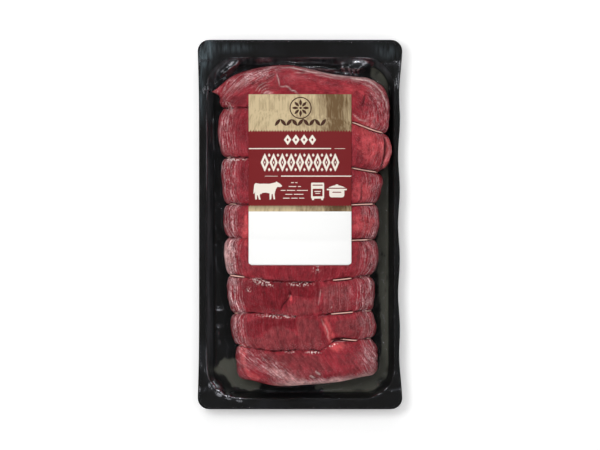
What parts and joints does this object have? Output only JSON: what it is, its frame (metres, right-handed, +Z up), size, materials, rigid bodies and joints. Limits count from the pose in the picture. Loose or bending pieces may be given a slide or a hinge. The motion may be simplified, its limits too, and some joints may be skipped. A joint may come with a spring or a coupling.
{
  "type": "packed roast beef joint",
  "caption": "Raw beef joint tied with twine, sealed under clear skin film on a shallow black tray, with a printed paper label on top.",
  "frame": {"origin": "centre of the pack's outline, on the surface that the pack lies on", "axes": "+Z up out of the tray, +Y along the pack to the end where the label's top is, +X to the right of the label as it is read"},
  "size_m": [0.18, 0.325, 0.0558],
  "materials": {
    "black_tray": "smooth thermoformed, satin",
    "raw_beef": "moist raw meat with streaks of fat and sinew",
    "twine": "twisted cotton, wet and stained",
    "clear_film": "clear glossy plastic film",
    "label_paper": "printed, smooth, slightly satin"
  },
  "bodies": {
    "root": {"tray": "black_tray", "beef_joint": "raw_beef", "twine_tie_1": "twine", "twine_tie_2": "twine", "twine_tie_3": "twine", "twine_tie_4": "twine", "twine_tie_5": "twine", "twine_tie_6": "twine", "twine_tie_7": "twine", "skin_film": "clear_film", "label": "label_paper"}
  },
  "joints": []
}
